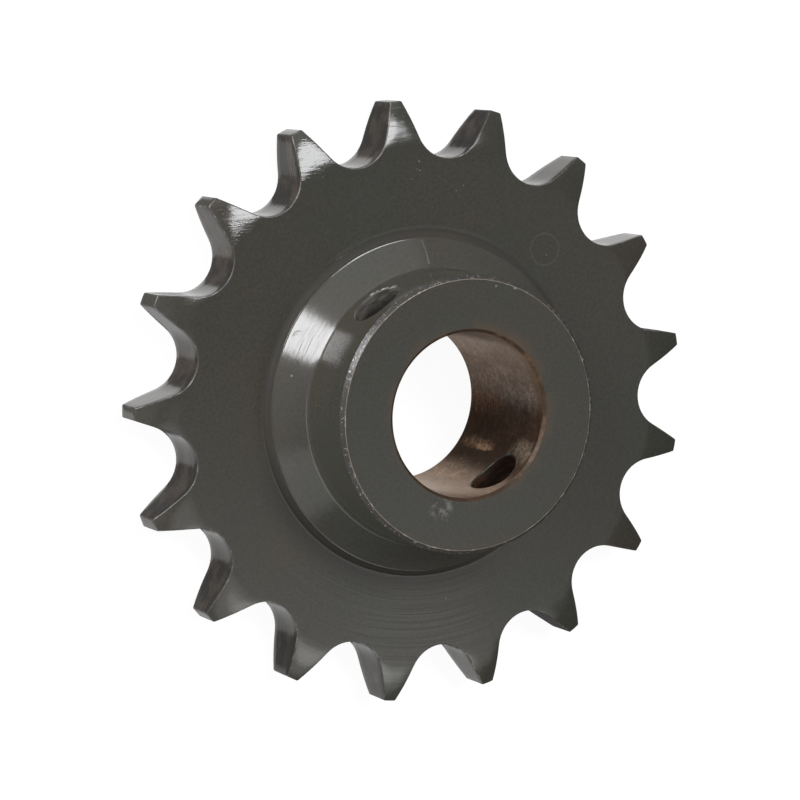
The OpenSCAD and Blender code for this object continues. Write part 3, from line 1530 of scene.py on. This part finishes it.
@dataclass(frozen=True)
class BoreStainsAndPaintedReflections:
    """Bore wall with a brown stain, fine rings and patches laid round it by azimuth: partly stains and
    rubbing, partly painted reflections, with a painted golden glint.
    """

    name: str = "stained_bore"
    colour: Colour = (0.062, 0.035, 0.024, 1)
    edge_tint: Colour = (0.9, 0.72, 0.58, 1)
    metallic: float = 0.6
    specular: float = 0.2
    roughness: float = 0.22
    ring_roughness: float = 0.2
    cloud: Grain = Grain(420, 4, 0.65)
    grain: Grain = Grain(1900, 3, 0.7)
    grain_tone: Band = Band(0.3, 0.7, 0.5, 1.5)
    rings: TurnedGrain = TurnedGrain(3000, 3, 4, 0.65)
    ring_tone: Band = Band(0.3, 0.7, 0.7, 1.3)
    bands: TurnedGrain = TurnedGrain(520, 7, 4, 0.6)
    band_tone: Band = Band(0.3, 0.7, 0.8, 1.42)
    depth: float = 0.00001
    # patches by azimuth and height; besides stains and rubbing they lay the bore's reflections into its
    # colour as darker and paler bands
    stains_and_painted_reflections: tuple[BorePatch, ...] = (
        BorePatch(-178, 9, 52, 26, (0.098, 0.073, 0.063), 1.0, 0.25),
        BorePatch(-165, 5, 26, 9, (0.19, 0.148, 0.132), 0.8, 0.7),
        BorePatch(168, 10, 9, 5, (0.15, 0.122, 0.11), 0.5, 1.4),
        BorePatch(150, 16, 11, 8, (0.12, 0.1, 0.092), 0.5, 1.2),
        BorePatch(140, 3, 12, 7, (0.125, 0.06, 0.036), 0.9, 0.7),
        BorePatch(127, 5, 8, 8, (0.05, 0.023, 0.013), 0.9, 0.5),
        BorePatch(70, 8, 34, 16, (0.105, 0.075, 0.057), 1.0, 0.5),
        BorePatch(84, 4, 16, 6, (0.19, 0.135, 0.1), 0.7, 1.0),
        # painted highlight: a golden glint and the glow round it
        BorePatch(110.5, 5.5, 6.5, 5.5, (0.3, 0.18, 0.11), 0.8, 0.9),
        BorePatch(108.8, 7.2, 3.4, 2.8, (0.72, 0.45, 0.28), 0.9, 0.9),
        BorePatch(112, 17.2, 11, 4, (0.22, 0.165, 0.12), 0.9, 1.3),
        BorePatch(172, 19.2, 60, 1.6, (0.05, 0.027, 0.016), 0.85, 1.2),
    )

    def make(self) -> bpy.types.Material:
        """Builds the material.

        Returns:
            The finished material.
        """
        material, graph, shader = new_material(self.name)
        turned = TurnedPlace(graph)
        cloud = self.cloud.at(graph, turned.place)
        grain = self.grain.at(graph, turned.place)
        rings = self.rings.at(turned)
        colour = self.colour
        for bore_patch in self.stains_and_painted_reflections:
            colour = graph.blend(bore_patch.mask(graph, turned, cloud), colour, (*bore_patch.colour, 1))
        shade = graph.math("MULTIPLY", self.ring_tone.of(graph, rings), self.grain_tone.of(graph, grain))
        shade = graph.math("MULTIPLY", shade, self.band_tone.of(graph, self.bands.at(turned)))
        graph.feed(shader.inputs["Base Color"], graph.scale(colour, shade))
        shader.inputs["Metallic"].default_value = self.metallic
        shader.inputs["Specular IOR Level"].default_value = self.specular
        shader.inputs["Specular Tint"].default_value = self.edge_tint
        smoothest = self.roughness - self.ring_roughness / 2
        rough = graph.math("MULTIPLY_ADD", rings, self.ring_roughness, smoothest)
        graph.feed(shader.inputs["Roughness"], rough)
        graph.bump(shader, graph.math("ADD", rings, grain), self.depth)
        return material


@dataclass(frozen=True)
class DrilledSteel:
    """Rough wall of the drilled pin hole, grey at the near mouth and darker brown at the far one: a rust
    tint with painted shade.
    """

    name: str = "drilled_steel"
    colour: Colour = (0.05, 0.046, 0.04, 1)
    streak: Colour = (0.15, 0.14, 0.12, 1)
    brown: Colour = (0.018, 0.009, 0.005, 1)
    rust: Colour = (0.06, 0.028, 0.014, 1)
    marks: Grain = Grain(2200, 3, 0.6)
    mark_band: Band = Band(0.4, 0.7)
    stretch: Point = (0.2, 1.0, 0.2)
    far_band: Band = Band(-10, 10)
    specular: float = 0.15
    roughness: float = 0.5
    depth: float = 0.00005

    def make(self) -> bpy.types.Material:
        """Builds the material.

        Returns:
            The finished material.
        """
        material, graph, shader = new_material(self.name)
        place = graph.place()
        marks = self.marks.at(graph, graph.stretch(place, self.stretch))
        along = graph.node("ShaderNodeSeparateXYZ", {0: place}).outputs[1]
        streaky = self.mark_band.of(graph, marks)
        near_colour = graph.blend(streaky, self.colour, self.streak)
        # the far hole, seen only through the bore, is painted darker: rust tint and painted shade
        far_rust_and_shade = graph.blend(streaky, self.brown, self.rust)
        colour = graph.blend(self.far_band.of(graph, along, MM), near_colour, far_rust_and_shade)
        graph.feed(shader.inputs["Base Color"], colour)
        shader.inputs["Specular IOR Level"].default_value = self.specular
        shader.inputs["Roughness"].default_value = self.roughness
        graph.bump(shader, marks, self.depth)
        return material


@dataclass(frozen=True)
class RustedSteel:
    """Thin brown rust on the chamfers at the bore's mouths."""

    name: str = "rusted_steel"
    colour: Colour = (0.045, 0.026, 0.014, 1)
    bright: Colour = (0.125, 0.07, 0.033, 1)
    patches: Grain = Grain(420, 4, 0.65)
    bright_band: Band = Band(0.48, 0.72)
    specular: float = 0.15
    roughness: float = 0.5

    def make(self) -> bpy.types.Material:
        """Builds the material.

        Returns:
            The finished material.
        """
        material, graph, shader = new_material(self.name)
        bright = self.bright_band.of(graph, self.patches.at(graph, graph.place()))
        graph.feed(shader.inputs["Base Color"], graph.blend(bright, self.colour, self.bright))
        shader.inputs["Specular IOR Level"].default_value = self.specular
        shader.inputs["Roughness"].default_value = self.roughness
        return material


@dataclass(frozen=True)
class Sprocket:
    """The whole wheel: tooth sectors repeated round the hub and welded to it."""

    sizes: WheelSizes = WheelSizes()
    name: str = "chain_sprocket"
    seam_teeth: int = 2
    rubbed_edge: EdgeSteel = EdgeSteel(
        name="rubbed_steel",
        colour=(0.5, 0.41, 0.35, 1),
        dull=(0.19, 0.155, 0.13, 1),
        roughness=0.35,
    )

    def finishes(self) -> dict[Zone, bpy.types.Material]:
        """Makes the finish of each zone.

        Returns:
            The materials by zone.
        """
        return {
            Zone.TURNED: TurnedSteel().make(),
            Zone.HOBBED: HobbedSteel().make(),
            Zone.EDGE: EdgeSteel().make(),
            Zone.BORE: BoreStainsAndPaintedReflections().make(),
            Zone.DRILLED: DrilledSteel().make(),
            Zone.RUSTED: RustedSteel().make(),
            Zone.DULL: DullSteel().make(),
            Zone.WORN: WornSteel().make(),
            Zone.RUBBED: self.rubbed_edge.make(),
        }

    def tree(self) -> bpy.types.NodeTree:
        """Builds the Geometry Nodes tree that repeats the teeth and dresses the wheel.

        Returns:
            The tree, with inputs for the teeth, the hub, the weld and the finishes.
        """
        tree = bpy.data.node_groups.new("tooth_ring", "GeometryNodeTree")
        face = tree.interface
        face.new_socket("Geometry", in_out="INPUT", socket_type="NodeSocketGeometry")
        face.new_socket("Teeth", in_out="INPUT", socket_type="NodeSocketInt")
        face.new_socket("Hub", in_out="INPUT", socket_type="NodeSocketObject")
        face.new_socket("Weld Distance", in_out="INPUT", socket_type="NodeSocketFloat")
        for zone in Zone:
            face.new_socket(zone.name, in_out="INPUT", socket_type="NodeSocketMaterial")
        face.new_socket("Geometry", in_out="OUTPUT", socket_type="NodeSocketGeometry")
        graph = Graph(tree)
        given = graph.node("NodeGroupInput").outputs
        places = graph.node("GeometryNodePoints", {"Count": given["Teeth"]}).outputs[0]
        number = graph.node("GeometryNodeInputIndex").outputs[0]
        step = graph.math("DIVIDE", 2 * math.pi, given["Teeth"])
        turn = graph.node("ShaderNodeCombineXYZ", {2: graph.math("MULTIPLY", number, step)})
        ring = graph.node(
            "GeometryNodeInstanceOnPoints",
            {"Points": places, "Instance": given["Geometry"], "Rotation": turn.outputs[0]},
        )
        hub = graph.node("GeometryNodeObjectInfo", {"Object": given["Hub"]}).outputs["Geometry"]
        join = graph.node("GeometryNodeJoinGeometry")
        tree.links.new(ring.outputs[0], join.inputs[0])
        tree.links.new(hub, join.inputs[0])
        whole = graph.node("GeometryNodeRealizeInstances", {0: join.outputs[0]}).outputs[0]
        inputs = {"Geometry": whole, "Distance": given["Weld Distance"]}
        shape = graph.node("GeometryNodeMergeByDistance", inputs).outputs[0]
        shape = graph.node("GeometryNodeSetShadeSmooth", {0: shape}).outputs[0]
        zone_of_face = graph.node("GeometryNodeInputNamedAttribute", data_type="INT")
        zone_of_face.inputs["Name"].default_value = "zone"
        for zone in Zone:
            inputs = {0: zone_of_face.outputs[0], 1: float(zone.value), "Epsilon": 0.5}
            here = graph.node("FunctionNodeCompare", inputs, operation="EQUAL").outputs[0]
            inputs = {"Geometry": shape, "Selection": here, "Material": given[zone.name]}
            shape = graph.node("GeometryNodeSetMaterial", inputs).outputs[0]
        graph.node("NodeGroupOutput", {0: shape})
        return tree

    def build(self) -> bpy.types.Object:
        """Builds the wheel as one plain mesh.

        The hub's columns start a few teeth before the one on +Y, so that their seam misses
        both mouths of the pin hole.

        Returns:
            The finished object, at the origin.
        """
        sector = ToothSector(self.sizes)
        angles = sector.angles()[:-1]
        turns = (np.arange(self.sizes.teeth) - self.seam_teeth) * 2 * self.sizes.half_pitch_angle
        columns = (turns[:, None] + angles[None, :]).ravel()
        wheel = sector.build().to_object(self.name)
        hub = TurnedHub(self.sizes, columns).build().to_object("hub_blank")
        LOG.info("tooth sector: %d faces", len(wheel.data.polygons))
        LOG.info("hub: %d faces", len(hub.data.polygons))
        modifier = wheel.modifiers.new("tooth_ring", "NODES")
        modifier.node_group = self.tree()
        values = {"Teeth": self.sizes.teeth, "Hub": hub, "Weld Distance": WELD_DISTANCE}
        values.update({zone.name: made for zone, made in self.finishes().items()})
        for item in modifier.node_group.interface.items_tree:
            if item.in_out == "INPUT" and item.name in values:
                modifier[item.identifier] = values[item.name]
        bpy.context.view_layer.update()
        drawn = wheel.evaluated_get(bpy.context.evaluated_depsgraph_get())
        mesh = bpy.data.meshes.new_from_object(drawn)
        wheel.modifiers.remove(modifier)
        wheel.data = mesh
        bpy.data.objects.remove(hub)
        return wheel

    def dress(self, wheel: bpy.types.Object) -> None:
        """Hands the wheel over to the frame in place of the CAD node.

        Args:
            wheel: The finished object.
        """
        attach(wheel, "root")
        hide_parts("sprocket")
        LOG.info("%s: %d faces", wheel.name, len(wheel.data.polygons))


@dataclass(frozen=True)
class PhotoCamera:
    """The camera of the photograph, solved from the outline of the teeth.

    Its target, distance and lens are in millimetres and its angles in degrees.
    """

    target: Point = (2.070, -2.326, 6.995)
    distance: float = 415.8
    azimuth: float = -51.433
    elevation: float = 63.873
    roll: float = -103.565
    lens: float = 153.03
    clip_start: float = 10.0

    def place(self) -> bpy.types.Object:
        """Adds the camera and makes it the scene's.

        Returns:
            The camera object.
        """
        back = towards(self.azimuth, self.elevation)
        level = Vector((0, 0, 1)).cross(back).normalized()
        above = back.cross(level)
        roll = math.radians(self.roll)
        up = math.cos(roll) * above + math.sin(roll) * level
        right = up.cross(back)
        turn = Matrix((right, up, back)).transposed().to_4x4()
        where = (Vector(self.target) + self.distance * back) * MM
        data = bpy.data.cameras.new("camera")
        data.lens = self.lens
        data.clip_start = self.clip_start * MM
        camera = bpy.data.objects.new("camera", data)
        camera.matrix_world = Matrix.Translation(where) @ turn
        bpy.context.scene.collection.objects.link(camera)
        bpy.context.scene.camera = camera
        return camera


@dataclass(frozen=True)
class Softbox:
    """A studio lamp that looks at the wheel.

    Its width and height are the angles that it fills as seen from the wheel. They are in
    degrees, as its place and roll are, and its distance is in metres.
    """

    name: str
    azimuth: float
    elevation: float
    width: float
    height: float
    brightness: float
    distance: float = 0.6
    shape: LampShape = LampShape.BOX
    use: LampUse = LampUse.MIRRORED
    roll: float = 0.0
    tint: tuple[float, float, float] = (0.97, 0.975, 1.0)

    def place(self) -> bpy.types.Object:
        """Adds the lamp.

        Returns:
            The lamp object.
        """
        back = towards(self.azimuth, self.elevation)
        level = Vector((0, 0, 1)).cross(back).normalized()
        turn = Matrix((level, back.cross(level), back)).transposed().to_4x4()
        turn = turn @ Matrix.Rotation(math.radians(self.roll), 4, "Z")
        data = bpy.data.lights.new(self.name, "AREA")
        data.shape = self.shape.value
        data.size = 2 * self.distance * math.tan(math.radians(self.width / 2))
        data.size_y = 2 * self.distance * math.tan(math.radians(self.height / 2))
        area = data.size * data.size_y
        if self.shape is LampShape.OVAL:
            area *= math.pi / 4
        data.energy = self.brightness * math.pi * area
        data.color = self.tint
        lamp = bpy.data.objects.new(self.name, data)
        lamp.matrix_world = Matrix.Translation(back * self.distance) @ turn
        lamp.visible_diffuse = self.use is LampUse.LIGHTING
        lamp.visible_glossy = self.use is LampUse.MIRRORED
        lamp.visible_camera = False
        bpy.context.scene.collection.objects.link(lamp)
        return lamp


@dataclass(frozen=True)
class Glow:
    """A soft bright patch of the studio, seen only as a reflection, with its place and size in degrees."""

    azimuth: float
    elevation: float
    radius: float
    softness: float
    brightness: float

    def mask(self, graph: Graph, direction: Socket) -> Socket:
        """Works out how much light comes from a direction.

        Args:
            graph: The world's graph.
            direction: The direction that is looked in.

        Returns:
            The patch's light.
        """
        near = graph.measure("DOT_PRODUCT", direction, towards(self.azimuth, self.elevation))
        outside = math.cos(math.radians(self.radius + self.softness))
        inside = math.cos(math.radians(max(self.radius - self.softness, 0)))
        return graph.spread(near, outside, inside, 0, self.brightness)


@dataclass(frozen=True)
class Studio:
    """Plain pale floor, soft light all round and the photograph's softboxes.

    Strengths are counted so that white in the picture is one. The ambient light and the
    brighter light near the horizon fall on the wheel, the mirrored light shows only in its
    reflections, and each leans to the side that its azimuth in degrees gives. The size of
    the floor is in metres.
    """

    floor_size: float = 3.0
    ambient: float = 0.1
    ambient_lean: float = 0.15
    horizon_gain: float = 3.6
    horizon_lean: float = 0.6
    horizon_azimuth: float = -25.0
    horizon_rise: float = 0.4
    mirrored: float = 0.32
    mirrored_lean: float = 0.28
    mirrored_below: float = 0.5
    below_fade: float = 0.1
    lean_azimuth: float = -62.0
    floor_glow: float = 0.95
    floor_colour: float = 0.12
    glows: tuple[Glow, ...] = (
        Glow(-120, 30, 30, 5, 0.75),
        Glow(11, 31, 15.5, 4, 0.9),
        Glow(-40, 50, 30, 9, 0.3),
        Glow(-176, 6, 22, 8, 0.15),
        Glow(75.5, 58, 21, 5, 1.1),
        Glow(81, 57, 7, 7, 2.4),
        Glow(118, 61.2, 2.6, 2.6, 0.45),
        Glow(131, 59.5, 3.5, 3.5, 0.25),
        Glow(-168, -64, 17, 1.2, 0.9),
        Glow(33, -64, 22, 1.5, 0.5),
    )
    lamps: tuple[Softbox, ...] = (
        Softbox("left_softbox", -73, 16, 20.5, 60, 18),
        Softbox("oval_softbox", -157.3, 66.7, 29, 21, 15.5, shape=LampShape.OVAL, roll=-35),
        Softbox("left_light", -73, 16, 20.5, 60, 4.5, use=LampUse.LIGHTING),
        Softbox(
            "oval_light", -157.3, 66.7, 29, 21, 12, shape=LampShape.OVAL, use=LampUse.LIGHTING, roll=-35
        ),
    )

    def facing(self, graph: Graph, direction: Socket, azimuth: float) -> Socket:
        """Tells how far a direction points towards one side.

        Args:
            graph: The world's graph.
            direction: The direction that is looked in.
            azimuth: The side's azimuth, in degrees.

        Returns:
            From -1, away from the side, to 1, straight towards it.
        """
        return graph.measure("DOT_PRODUCT", direction, towards(azimuth, 0))

    def light_world(self) -> None:
        """Lights the world: soft all round for diffuse light, with bright patches in reflections."""
        world = bpy.data.worlds.new("studio")
        bpy.context.scene.world = world
        world.use_nodes = True
        world.node_tree.nodes.clear()
        graph = Graph(world.node_tree)
        path = graph.node("ShaderNodeLightPath").outputs
        place = graph.node("ShaderNodeTexCoord").outputs["Generated"]
        lean = self.facing(graph, place, self.lean_azimuth)
        rise = graph.node("ShaderNodeSeparateXYZ", {0: place}).outputs[2]
        low = graph.spread(rise, 0, self.horizon_rise, self.horizon_gain, 0)
        front = self.facing(graph, place, self.horizon_azimuth)
        front = graph.math("MULTIPLY_ADD", front, self.horizon_lean, 1)
        soft = graph.math("MULTIPLY_ADD", lean, self.ambient_lean, self.ambient)
        soft = graph.math("MULTIPLY_ADD", low, front, soft)
        soft = graph.math("MULTIPLY", soft, graph.math("GREATER_THAN", rise, 0))
        seen = graph.math("MULTIPLY_ADD", lean, self.mirrored_lean, self.mirrored)
        below = graph.spread(rise, -self.below_fade, 0, self.mirrored_below, 1)
        seen = graph.math("MULTIPLY", seen, below)
        for glow in self.glows:
            seen = graph.math("ADD", seen, glow.mask(graph, place))
        shiny = graph.math("MAXIMUM", path["Is Glossy Ray"], path["Is Transmission Ray"])
        light = graph.node("ShaderNodeMix", {0: shiny, 2: soft, 3: seen}).outputs[0]
        strength = graph.node("ShaderNodeMix", {0: path["Is Camera Ray"], 2: light, 3: 1.0}).outputs[0]
        background = graph.node("ShaderNodeBackground", {0: (1, 1, 1, 1), 1: strength})
        graph.node("ShaderNodeOutputWorld", {0: background.outputs[0]})

    def lay_floor(self) -> bpy.types.Object:
        """Lays the floor that the wheel rests on.

        Returns:
            The floor object.
        """
        half = self.floor_size / 2
        mesh = bpy.data.meshes.new("floor")
        corners = [(-half, -half, 0), (half, -half, 0), (half, half, 0), (-half, half, 0)]
        mesh.from_pydata(corners, [], [(0, 1, 2, 3)])
        floor = bpy.data.objects.new("floor", mesh)
        bpy.context.scene.collection.objects.link(floor)
        material = bpy.data.materials.new("pale_floor")
        material.use_nodes = True
        material.node_tree.nodes.clear()
        graph = Graph(material.node_tree)
        path = graph.node("ShaderNodeLightPath").outputs
        shown = graph.math("MAXIMUM", path["Is Camera Ray"], path["Is Transmission Ray"])
        glow = graph.math("MULTIPLY", shown, self.floor_glow)
        light = graph.node("ShaderNodeEmission", {0: (1, 1, 1, 1), 1: glow}).outputs[0]
        tone = self.floor_colour
        paint = graph.node("ShaderNodeBsdfDiffuse", {0: (tone, tone, tone, 1)}).outputs[0]
        both = graph.node("ShaderNodeAddShader", {0: light, 1: paint}).outputs[0]
        graph.node("ShaderNodeOutputMaterial", {0: both})
        mesh.materials.append(material)
        floor.visible_glossy = False
        floor.visible_shadow = False
        return floor

    def build(self) -> None:
        """Sets up the world, the floor and the lamps."""
        self.light_world()
        self.lay_floor()
        for lamp in self.lamps:
            lamp.place()
        bpy.context.scene.view_settings.view_transform = "Standard"


def main() -> None:
    """Builds the wheel, the studio and the camera, and reports each piece."""
    logging.basicConfig(level=logging.INFO, format="%(name)s: %(message)s")
    sprocket = Sprocket()
    wheel = sprocket.build()
    sprocket.dress(wheel)
    Studio().build()
    PhotoCamera().place()


if __name__ == "__main__":
    main()
